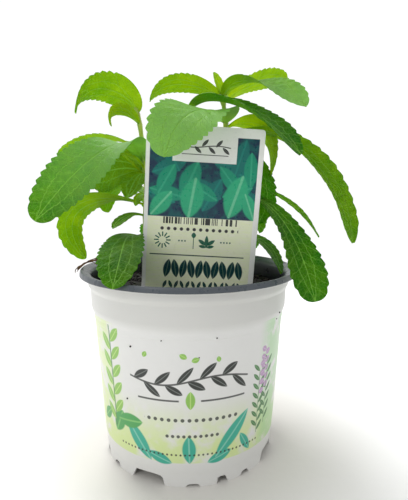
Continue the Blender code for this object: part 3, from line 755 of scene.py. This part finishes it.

# Each leaf springs from its stem at the height root. Its midrib is one Bezier arc with the
# handles rise and arch and the end tip. Its upper side looks along face_in near the stem and
# along face_out at the tip. tone is 0 for an old dark leaf and 1 for a young yellow-green one.
# The last pair is how much painted sheen, the pale grey-green that light from above gives the hairy blade,
# lies on it near the stem and at the tip.
STEMS = {
    "stem_left": Stem(
        [(-23, -4, 94), (-24, -4, 120), (-23, -4, 145), (-24, -4, 161), (-26, -4, 180),
         (-28, -4, 189)], 1.8, 1.0, [
            Leaf(158, (-28, -8, 186), (-52, -42, 156), (-67, -52, 131), 25, (.1, .5, .3), (.3, -.8, .5),
                 0.56, 0.45, (25, 15), 8, 0.2, (1.3, 0)),
            Leaf(163, (-33, 12, 178), (-60, 26, 178), (-81, 32, 168), 15, (0, .2, 1), (-.3, .4, .8),
                 widest=0.55, tone=0.6),
            Leaf(186, (-29, -4, 197), (-54, -12, 206), (-56, -20, 183), 21, (.1, .7, .7), (-.9, -.3, .4),
                 0.5, 0.6, (20, 10), 6, 0.5),
            Leaf(180, (-30, -10, 187), (-42, -15, 189), (-39, -18, 177), 11, UP, (-1, 0, .2), teeth=3,
                 tone=1),
            Leaf(118, (-37, -4, 123), (-29, -40, 124), (-34, -54, 101), 23, (0, -.2, 1), (-.2, -.8, .5),
                 0.64, 0.5, (20, 10), 6, 0.15),
            Leaf(112, (-32, -7, 115), (-33, -21, 111), (-33, -31, 104), 12, (0, -.2, 1), (0, -.6, .7),
                 teeth=3, tone=0.2),
            Leaf(137, (-48, 6, 146), (-85, 16, 136), (-63, 18, 104), 19, (0, .2, 1), (-.6, .6, -.2), 0.62,
                 0.6, (30, 20), 6, 0.55),
            Leaf(142, (-35, 12, 151), (-52, 22, 149), (-50, 26, 132), 20, (0, .2, 1), (-.6, .4, .4)),
            Leaf(155, (-34, 2, 159), (-46, 4, 158), (-58, 5, 149), 24, (0, -.9, .4), (-.1, -1, .1)),
            Leaf(153, (-26, -8, 156), (-28, -16, 151), (-31, -22, 141), 12, (0, -.2, 1), (0, -.8, .4),
                 teeth=3, tone=0.5),
            Leaf(143, (-25, -7, 144), (-27, -11, 142), (-28, -14, 137), 5, (0, -.2, 1), (0, -.8, .4),
                 teeth=2, tone=0.8),
            Leaf(131, (-29, -8, 134), (-34, -18, 131), (-38, -26, 126), 8, (0, -.2, 1), (0, -.4, .8),
                 teeth=3, tone=0.3),
            Leaf(156, (-28, -9, 163), (-34, -18, 165), (-39, -25, 162), 7, (0, -.2, 1), (0, -.2, 1),
                 teeth=3, tone=0.9),
            Leaf(152, (-32, -2, 166), (-40, 0, 170), (-46, 2, 166), 12, (0, -.2, 1), (0, -.4, .9), teeth=4,
                 tone=0.95),
        ]),
    "stem_middle": Stem(
        [(14, 6, 94), (20, 6, 120), (22, 6, 145), (22, 6, 168), (21, 5, 184), (19, 4, 198)], 1.8, 1.0, [
            Leaf(183, (14, -18, 190), (-6, -36, 185), (-11, -38, 160), 35, UP, (-.2, -1, .2), 0.56, 0.5,
                 (25, 5), 7, 0.35, (0.7, 0.9)),
            Leaf(196, (9, 10, 205), (-15, 8, 210), (-21, 0, 193), 14, (0, .5, .9), (-.8, .2, .4), 0.5, 0.6,
                 (20, 10), 6, 0.6),
            Leaf(196.5, (18, 3, 201), (16, 2, 205), (14, 1, 209), 6, (.3, -.9, .2), (.3, -.9, .2), 0.5, 0.6,
                 (40, 40), 2, 0.95),
            Leaf(195, (19, -2, 205), (40, -18, 205), (57, -30, 185), 23, (0, .3, 1), (.3, -.9, .5), 0.62,
                 0.6, (30, 20), 6, 0.35, (-0.9, 1.1)),
            Leaf(194, (32, 12, 205), (44, 18, 210), (60, 24, 213), 17, (-.2, .5, .8), (-.2, .5, .8),
                 tone=0.7),
            Leaf(180, (34, 14, 188), (53, 10, 181), (46, 0, 153), 22, (0, .3, 1), (.8, .2, .3), widest=0.55,
                 tone=0.65),
            Leaf(168, (36, 2, 173), (41, -8, 151), (38, -10, 127), 24, (.3, 0, 1), (.4, -.8, .2),
                 tone=0.15),
            Leaf(145, (46, -8, 145), (55, -32, 124), (60, -45, 92), 23, (0, -.2, 1), (.3, -.6, .6), 0.8,
                 0.42, (30, 10), 7, 0.1),
            Leaf(151, (52, 12, 148), (69, 17, 134), (80, 16, 117), 13, (.2, .1, 1), (.6, -.1, .6),
                 widest=0.66, tone=0.3),
            Leaf(176, (49, 0, 185), (76, -16, 165), (85, -26, 118), 22, (0, .4, 1), (.9, .1, .3), 0.68, 0.6,
                 (30, 20), 7),
            Leaf(119, (42, -2, 123), (46, -13, 112), (49, -20, 101), 15, UP, (.6, -.3, .6), widest=0.66,
                 tone=0.1),
        ]),
    "stem_inner": Stem(
        [(-8, 3, 94), (-5, 4, 115), (-2, 5, 140), (-1, 6, 167), (-1, 6, 190)], 1.7, 1.0, [
            Leaf(188, (6, -2, 199), (31, -34, 189), (52, -42, 161), 25, UP, (.3, -.4, .7), 0.62, 0.6,
                 (35, 25), 7, 0.1),
        ]),
    "stem_rear_left": Stem(
        [(-12, 20, 94), (-13, 23, 115), (-14, 27, 140), (-13, 30, 160), (-12, 31, 170)], 1.7, 1.0, [
            Leaf(160, (-12, 44, 178), (-15, 64, 174), (-19, 73, 146), 22, UP, (0, .8, .4)),
            Leaf(162, (-2, 36, 176), (6, 42, 172), (10, 46, 152), 19, UP, (.8, .4, .4), tone=0.5),
            Leaf(136, (-18, 46, 152), (-22, 68, 148), (-25, 77, 121), 24, UP, (-.2, .8, .4), tone=0.2),
            Leaf(134, (-6, 30, 148), (0, 36, 144), (4, 38, 126), 18, UP, (.8, .4, .4)),
            Leaf(112, (-20, 38, 126), (-25, 56, 126), (-28, 67, 106), 20, UP, (-.2, .8, .5), tone=0.1),
            Leaf(169, (-16, 34, 176), (-18, 38, 178), (-20, 42, 176), 7, UP, UP, teeth=3, tone=0.9),
            Leaf(168, (-8, 28, 175), (-5, 28, 177), (-3, 26, 174), 7, UP, UP, teeth=3, tone=0.9),
        ]),
    "stem_rear_right": Stem(
        [(18, 26, 94), (21, 29, 115), (24, 33, 140), (25, 35, 160), (24, 35, 166)], 1.7, 1.0, [
            Leaf(152, (32, 50, 168), (42, 66, 162), (45, 76, 136), 22, UP, (.4, .7, .4)),
            Leaf(150, (20, 52, 168), (14, 70, 162), (10, 80, 138), 22, UP, (-.2, .8, .4), tone=0.5),
            Leaf(128, (32, 44, 146), (46, 54, 140), (51, 62, 116), 21, UP, (.7, .5, .4), tone=0.2),
            Leaf(124, (20, 50, 140), (16, 70, 134), (12, 77, 110), 22, UP, (-.2, .8, .4), tone=0.3),
            Leaf(108, (34, 38, 122), (42, 48, 120), (46, 56, 105), 16, UP, (.6, .5, .5), tone=0.1),
            Leaf(165, (28, 40, 174), (32, 42, 176), (35, 43, 173), 8, UP, UP, teeth=3, tone=0.9),
            Leaf(164, (20, 38, 172), (16, 40, 174), (13, 41, 171), 8, UP, UP, teeth=3, tone=0.9),
        ]),
}


def attribute(tree, name, output="Vector"):
    return add(tree, "Attribute", output=output, attribute_name=name)


# The marks on a blade, worked out from where a point lies: lay is millimetres across and along,
# and the half width there; span is the share across, the share along, and the leaf's number.
def blade_marks(tree):
    across, along, half_wide = parts(attribute(tree, "lay"))
    share_across, share, leaf_number = parts(attribute(tree, "span"))
    aside = maths("ABSOLUTE", across)
    share_aside = maths("ABSOLUTE", share_across)
    spot = add(tree, "CombineXYZ", {"X": across, "Y": along, "Z": leaf_number * 13.0})
    wander = noise_at(spot, 0.16, 2) - 0.5
    rib = ramp(aside / (0.62 - share * 0.38), 0.55, 1.25, 1.0, 0.0)
    near_stem = maths("SUBTRACT", 1.0, share, clamp=True) ** 3.0
    path = (1.0 - near_stem) * (1.0 - share ** 9.0) * 0.5
    off = maths("ABSOLUTE", (share_aside - path) * half_wide + wander * 1.6)
    side_vein = ramp(off, 0.14, 0.46, 1.0, 0.0)
    slant = along - aside * 0.75 + wander * 5.0
    branch = ramp(maths("PINGPONG", slant, 3.1), 0.12, 0.42, 1.0, 0.0) * ramp(share, 0.22, 0.4)
    net_edge = add(tree, "TexVoronoi", {"Vector": spot, "Scale": 0.62, "Randomness": 0.9}, "Distance",
                   feature="DISTANCE_TO_EDGE")
    net = ramp(net_edge, 0.015, 0.15, 1.0, 0.0)
    main = most(rib, most(side_vein * 0.8, branch * 0.5))
    return spot, near_stem, main, net


def blade_finish(name, old, young, pale, vein, glow_old, glow_young, glow, relief, roughness):
    made, tree, shader = finish_of(name, roughness, specular_ior_level=0.1)
    spot, near_stem, main, net = blade_marks(tree)
    aged = attribute(tree, "tone", "Fac") + near_stem * 0.35
    patches = maths("ADD", aged, (noise_at(spot, 0.11, 4, 0.6) - 0.5) * 0.7, clamp=True)
    # Painted sheen: the pale colour is mixed in where a blade is marked for it, standing in for light caught
    # by its hairs.
    colour = mixed(attribute(tree, "down", "Fac"), mixed(patches, old, young), pale)
    lines = maths("ADD", main * 0.6, net * 0.22, clamp=True)
    link(mixed(lines, colour, vein), shader)
    through = mixed(main * 0.35, mixed(patches, glow_old, glow_young), vein)
    bump = bumped(shader, main * 0.7 + net * 0.45 + noise_at(spot, 3.5, 3) * 0.25, relief)
    blended(shader, glow, add(tree, "BsdfTranslucent", {"Color": through, "Normal": bump}))
    return made


leaf_upper = blade_finish("leaf_upper", (0.010, 0.095, 0.001), (0.21, 0.42, 0.002), (0.36, 0.72, 0.19),
                          (0.40, 0.78, 0.13), (0.13, 0.54, 0.0), (0.85, 1.0, 0.0), 0.42, -0.36, 0.45)
# The underside is paler partly in its own colour and partly as painted light: its base colour is lifted
# towards the glow of light shining through the blade.
leaf_under = blade_finish("leaf_under", (0.060, 0.20, 0.010), (0.27, 0.48, 0.010), (0.34, 0.60, 0.20),
                          (0.42, 0.66, 0.14), (0.26, 0.64, 0.0), (0.90, 1.0, 0.0), 0.58, 0.36, 0.6)
stem_skin, tree, shader = finish_of("stem_skin", 0.5, subsurface_weight=0.15, subsurface_scale=0.002,
                                    sheen_weight=0.2)
lines = noise_at(stretched(attribute(tree, "lay"), (2.6, 0.12, 1)), 1.0, 3.0)
link(mixed(ramp(lines, 0.3, 0.7), (0.30, 0.46, 0.03), (0.55, 0.66, 0.10)), shader)
bumped(shader, lines, 0.2)

pale_hair, tree, shader = finish_of("pale_hair", 0.6, subsurface_weight=0.3, subsurface_scale=0.001)
link(mixed(noise_at(here(tree), 900, 2), (0.60, 0.72, 0.40), (0.82, 0.88, 0.66)), shader)


# Every point of a blade or stem stays within the frame's own box.
FRAME_LOW = np.array(cad_low) / MM + 0.02
FRAME_HIGH = np.array(cad_high) / MM - 0.02


class Growth:
    def __init__(self):
        self.points = []
        self.faces = []
        self.finish = []
        self.lay = []
        self.span = []
        self.tone = []
        self.down = []
        self.count = 0

    def put(self, points, lay, span, tone, down=0.0):
        first = self.count
        flat = np.clip(points.reshape(-1, 3), FRAME_LOW, FRAME_HIGH)
        self.points.append(flat)
        self.lay.append(lay.reshape(-1, 3))
        self.span.append(span.reshape(-1, 3))
        self.tone.append(np.full(len(flat), tone))
        self.down.append(np.clip(down + np.zeros(points.shape[:-1]), 0, 1).ravel())
        self.count += len(flat)
        return first

    def face(self, corners, finish, flip=False):
        self.faces.append(corners[::-1] if flip else corners)
        self.finish.append(finish)

    def strip(self, first, second, finish, flip=False):
        for corners in zip(first, first[1:], second[1:], second):
            self.face(corners, finish, flip)


def unit(rows):
    return rows / np.linalg.norm(rows, axis=-1, keepdims=True)


def lengths_along(route):
    steps = np.linalg.norm(np.diff(route, axis=0), axis=1)
    return np.concatenate([[0], np.cumsum(steps)])


def along_route(route, shares):
    lengths = lengths_along(route)
    return np.stack([np.interp(shares * lengths[-1], lengths, route[:, k]) for k in range(3)], 1), lengths[-1]


def half_width(leaf, share):
    rise = leaf.blunt * leaf.widest / (1 - leaf.widest)
    peak = leaf.widest ** rise * (1 - leaf.widest) ** leaf.blunt
    width = leaf.width / 2 * share ** rise * (1 - share) ** leaf.blunt / peak
    return np.maximum(width, np.where(share < 0.3, 0.9, 0.25))


def teeth_at(leaf, share):
    pitch = (TEETH_TO - TEETH_FROM) / round(leaf.teeth * TEETH_MORE)
    count = (share - TEETH_FROM) / pitch
    part = count - np.floor(count)
    rising = np.clip(part / 0.72, 0, 1) ** 0.75
    falling = 1 - np.clip((part - 0.72) / 0.28, 0, 1) ** 1.4
    saw = np.minimum(rising, falling)
    zone = np.clip(count, 0, 1) * np.clip((1.0 - share) / 0.05, 0, 1)
    inside = (share > TEETH_FROM) & (share < TEETH_TO + 0.02)
    return 1 - TOOTH * (1 - saw) * zone * inside


def blade_shares(leaf):
    base = np.linspace(0, TEETH_FROM, 15)[:-1]
    middle = np.linspace(TEETH_FROM, TEETH_TO, round(leaf.teeth * TEETH_MORE) * TOOTH_STEPS + 1)
    left = (1 - np.linspace(0, 1, 9)[1:]) ** 2
    return np.concatenate([base, middle, 1 - (1 - TEETH_TO) * left])


# Where the points of a blade lie across it, closer together at the midrib.
ACROSS = np.array([0, 0.035, 0.08, 0.15, 0.23, 0.32, 0.40, 0.46, 0.52, 0.60, 0.70, 0.80, 0.90, 1.0])
ACROSS = np.concatenate([-ACROSS[:0:-1], ACROSS])


def grow_blade(growth, leaf, root, number, seed):
    draw = np.random.default_rng(seed)
    handles = [Vector(place) for place in (root, leaf.rise, leaf.arch, leaf.tip)]
    arc = np.array(interpolate_bezier(*handles, 200))
    shares = blade_shares(leaf)
    middle, length = along_route(arc, shares)
    along = unit(np.gradient(middle, shares, axis=0))
    face = (1 - shares[:, None]) * np.array(leaf.face_in) + shares[:, None] * np.array(leaf.face_out)
    face = unit(face - along * (face * along).sum(1, keepdims=True))
    side = np.cross(along, face)
    smooth_half = half_width(leaf, shares)
    half = smooth_half * teeth_at(leaf, shares)
    bend = np.radians(leaf.cup[0] * (1 - shares) + leaf.cup[1] * shares)
    share = shares[:, None] + 0 * ACROSS
    across = 0 * share + ACROSS
    turn = bend[:, None] * across
    reach = (half / bend)[:, None]
    point = (middle[:, None] + side[:, None] * (np.sin(turn) * reach)[..., None]
             + face[:, None] * ((1 - np.cos(turn)) * reach)[..., None])
    normal = face[:, None] * np.cos(turn)[..., None] - side[:, None] * np.sin(turn)[..., None]

    x = across * half[:, None]
    y = share * length
    size = leaf.width / 20
    phase = draw.uniform(0, 2 * math.pi, 4)
    wave = (np.abs(across) ** 2 * np.sin(y / 6.5 + phase[0] + 1.2 * np.sign(across)) * 0.35 * size
            + across * np.sin(y / 11 + phase[1]) * 0.45 * size)
    wave = wave * np.clip((share - 0.15) / 0.3, 0, 1)
    slant = y - 0.75 * np.abs(x)
    quilt = 0.16 * size * np.sin(2 * math.pi * slant / 6.2 + phase[2]) * np.clip(np.abs(across) * 3, 0, 1)
    quilt = quilt * np.clip((share - 0.2) / 0.2, 0, 1) * (1 - np.abs(across) ** 3)
    rib = np.exp(-(x / 0.55) ** 2)
    path = 0.5 * (1 - (1 - share) ** 3) * (1 - share ** 9)
    vein = np.exp(-(((np.abs(across) - path) * smooth_half[:, None]) / 0.7) ** 2) * np.clip(share * 4, 0, 1)
    stalk = np.clip(1 - share / 0.15, 0, 1)
    thick = (BLADE_HALF * (1 - 0.4 * np.abs(across) ** 2)
             + (BLADE_ROOT - BLADE_HALF) * stalk * (1 - 0.5 * across ** 2))
    fall = 1 - 0.6 * share
    upper_dip = (0.16 * rib + 0.10 * vein) * (1 - stalk)
    lower_swell = (0.42 * rib * fall + 0.14 * vein) * (1 - stalk)
    upper = point + normal * (wave + quilt + thick - upper_dip)[..., None]
    lower = point + normal * (wave + quilt - thick - lower_swell)[..., None]

    lay = np.stack([x, y, 0 * x + smooth_half[:, None]], -1)
    span = np.stack([across, share, 0 * x + number], -1)
    rows, columns = share.shape
    down = leaf.down[0] * (1 - share) + leaf.down[1] * share
    top = growth.put(upper, lay, span, leaf.tone, down)
    under = growth.put(lower, lay, span, leaf.tone, down)
    top_ids = top + np.arange(rows * columns).reshape(rows, columns)
    under_ids = under + np.arange(rows * columns).reshape(rows, columns)
    for row in range(rows - 1):
        growth.strip(top_ids[row], top_ids[row + 1], UPPER)
        growth.strip(under_ids[row], under_ids[row + 1], UNDER, True)
    growth.strip(top_ids[:, 0], under_ids[:, 0], UPPER)
    growth.strip(top_ids[:, -1], under_ids[:, -1], UPPER, True)
    growth.strip(top_ids[0], under_ids[0], UPPER, True)
    growth.strip(top_ids[-1], under_ids[-1], UPPER)


def smooth_route(points, steps):
    route = []
    for number in range(len(points) - 1):
        before = Vector(points[max(number - 1, 0)])
        here_point = Vector(points[number])
        there = Vector(points[number + 1])
        after = Vector(points[min(number + 2, len(points) - 1)])
        rise = here_point + (there - before) / 6
        arch = there - (after - here_point) / 6
        route += interpolate_bezier(here_point, rise, arch, there, steps + 1)[:-1]
    return np.array(route + [Vector(points[-1])])


def grow_tube(growth, route, radii, sides, finish, ridges=0.0, phase=0.0):
    along = unit(np.gradient(route, axis=0))
    guide = np.array([1.0, 0.0, 0.0]) if abs(along[0, 0]) < 0.8 else np.array([0.0, 1.0, 0.0])
    side = unit(np.cross(along, guide))
    other = np.cross(along, side)
    angles = np.linspace(0, 2 * math.pi, sides, endpoint=False)
    swell = 1 + ridges * np.cos(6 * angles + phase)
    ring = side[:, None] * np.cos(angles)[None, :, None] + other[:, None] * np.sin(angles)[None, :, None]
    points = route[:, None] + ring * (radii[:, None] * swell)[..., None]
    flat = 0 * points[..., 0]
    lay = np.stack([flat + angles * 1.8, flat + lengths_along(route)[:, None], flat], -1)
    span = np.zeros_like(points)
    first = growth.put(points, lay, span, 0.5)
    rows, columns = points.shape[:2]
    ids = first + np.arange(rows * columns).reshape(rows, columns)
    ids = np.concatenate([ids, ids[:, :1]], 1)
    for row in range(rows - 1):
        growth.strip(ids[row], ids[row + 1], finish)
    for row, place, flip in ((0, route[0], True), (-1, route[-1] + along[-1] * radii[-1] * 0.6, False)):
        pole = growth.put(place[None], lay[:1, :1], span[:1, :1], 0.5)
        for a, b in zip(ids[row], ids[row][1:]):
            growth.face((b, a, pole) if flip else (a, b, pole), finish)


# Short soft hairs that stand out from a stem, each a thin three-sided spike.
def grow_hairs(growth, route, radii, count, finish, draw):
    for row in draw.integers(3, len(route) - 1, count):
        along = route[row + 1] - route[row] if row + 1 < len(route) else route[row] - route[row - 1]
        place = route[row] + along * draw.uniform()
        out = unit(np.cross(along, draw.normal(size=3)))
        lean = out + 0.3 * draw.normal(size=3)
        side = unit(np.cross(along, out)) * HAIR_RADIUS
        rise = unit(along) * HAIR_RADIUS
        foot = place + out * (radii[row] - 0.05)
        tip = foot + lean * HAIR_LENGTH * draw.uniform(0.6, 1.2)
        corners = np.array([foot + side, foot - 0.5 * side + rise, foot - 0.5 * side - rise, tip])
        a = growth.put(corners, 0 * corners, 0 * corners, 0.5)
        for face in ((a, a + 1, a + 3), (a + 1, a + 2, a + 3), (a + 2, a, a + 3), (a, a + 2, a + 1)):
            growth.face(face, finish)


def grown(name, growth, finishes):
    mesh = bpy.data.meshes.new(name)
    faces = [tuple(map(int, face)) for face in growth.faces]
    mesh.from_pydata(np.concatenate(growth.points) * MM, [], faces)
    for finish in finishes:
        mesh.materials.append(finish)
    mesh.polygons.foreach_set("material_index", growth.finish)
    for key, rows in (("lay", growth.lay), ("span", growth.span)):
        values = mesh.attributes.new(key, "FLOAT_VECTOR", "POINT")
        values.data.foreach_set("vector", np.concatenate(rows).astype(np.float32).ravel())
    for key, rows in (("tone", growth.tone), ("down", growth.down)):
        values = mesh.attributes.new(key, "FLOAT", "POINT")
        values.data.foreach_set("value", np.concatenate(rows).astype(np.float32))
    mesh.shade_smooth()
    bm = bmesh.new()
    bm.from_mesh(mesh)
    bmesh.ops.recalc_face_normals(bm, faces=bm.faces)
    bm.to_mesh(mesh)
    bm.free()
    mesh.set_sharp_from_angle(angle=math.radians(60))
    return placed(name, mesh)


for stem_number, (name, stem) in enumerate(STEMS.items()):
    growth = Growth()
    x, y, z = stem.route[0]
    route = smooth_route(stem.route, ROUTE_STEPS)
    route = np.concatenate([[[x, y, STEM_FOOT], [x, y, (STEM_FOOT + z) / 2]], route])
    radii = np.linspace(stem.foot_radius, stem.top_radius, len(route))
    for leaf in stem.leaves:
        radii += NODE_SWELL * np.exp(-((route[:, 2] - leaf.root) / NODE_LONG) ** 2)
    radii = np.minimum(radii, stem.foot_radius + SWELL_LIMIT)
    grow_tube(growth, route, radii, STEM_SIDES, SKIN, 0.05, stem_number)
    grow_hairs(growth, route, radii, STEM_HAIRS, HAIR, np.random.default_rng(50 + stem_number))
    for number, leaf in enumerate(stem.leaves):
        root = [np.interp(leaf.root, route[:, 2], route[:, k]) for k in range(3)]
        grow_blade(growth, leaf, root, number + 20 * stem_number, 100 * stem_number + number)
    made = grown(name + "_foliage", growth, [leaf_upper, leaf_under, stem_skin, pale_hair])
    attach(made, "root")
    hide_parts(name)


# Dry stalk
# A thin shrivelled stalk of an old leaf, lying from the soil's edge over the lip.
TWIG_ROUTE = [(-38, -2, 103.6), (-48, 0, 106.0), (-54, 0, 105.6), (-59, -2, 104.2), (-62, -5, 101.5)]
TWIG_RADIUS = 0.6
# Three withered side strands that cross the main one, each with its thickness at the root.
TWIG_STRANDS = [
    ([(-46, -1, 105.6), (-50, -3, 107.4), (-55, -4, 106.4), (-59, -6, 103.6), (-61.5, -8, 100.8)], 0.42),
    ([(-41, -2, 104.4), (-45, -5, 105.2), (-50, -6, 104.2), (-54, -3, 105.4)], 0.38),
    ([(-60, -3, 103.4), (-62, -1, 102.6), (-63.5, -3, 101.0), (-63, -6, 99.6)], 0.38)]

dry_bark, tree, shader = finish_of("dry_bark", 0.8)
streak = noise_at(here(tree), 1400, 4)
link(mixed(ramp(streak, 0.3, 0.7), (0.035, 0.012, 0.005), (0.26, 0.12, 0.04)), shader)
bumped(shader, streak, 0.3)
growth = Growth()
route = smooth_route(TWIG_ROUTE, ROUTE_STEPS)
thin = np.linspace(TWIG_RADIUS, 0.35, len(route)) * (1 + 0.15 * np.sin(np.arange(len(route)) * 0.9))
grow_tube(growth, route, thin, 12, 0, 0.12)
for strand, thickness in TWIG_STRANDS:
    route = smooth_route(strand, 8)
    thin = np.linspace(thickness, 0.18, len(route)) * (1 + 0.2 * np.sin(np.arange(len(route)) * 0.8))
    grow_tube(growth, route, thin, 10, 0, 0.12)
stalk = grown("dry_stalk_curl", growth, [dry_bark])
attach(stalk, "root")
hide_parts("dry_stalk")
